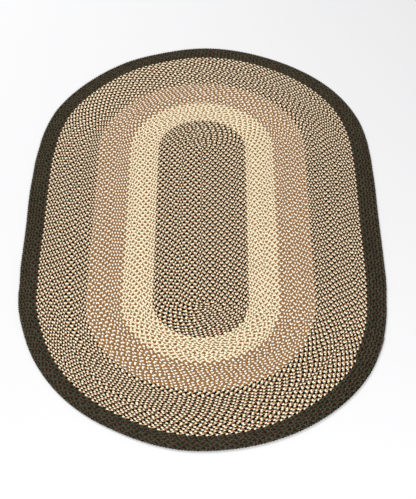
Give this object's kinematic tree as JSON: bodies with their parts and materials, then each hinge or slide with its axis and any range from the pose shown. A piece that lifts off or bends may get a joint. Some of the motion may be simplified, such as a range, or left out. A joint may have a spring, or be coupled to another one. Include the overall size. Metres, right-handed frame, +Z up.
{
  "type": "oval braided rug",
  "caption": "Flat oval rug of coiled, laced braid in bands of mixed, cream and tan strands with a dark border.",
  "frame": {"origin": "on the floor, under the middle of the rug's outline", "axes": "+Y along the rug's long way, +Z up out of its top face"},
  "size_m": [1.538, 2.4794, 0.009],
  "materials": {
    "mixed_braid": "matte braided yarn",
    "cream_braid": "matte braided yarn",
    "tan_braid": "matte braided yarn",
    "dark_braid": "matte braided yarn"
  },
  "bodies": {
    "root": {"centre_oval": "mixed_braid", "cream_ring": "cream_braid", "tan_ring": "tan_braid", "mixed_ring": "mixed_braid", "dark_border": "dark_braid"}
  },
  "joints": []
}
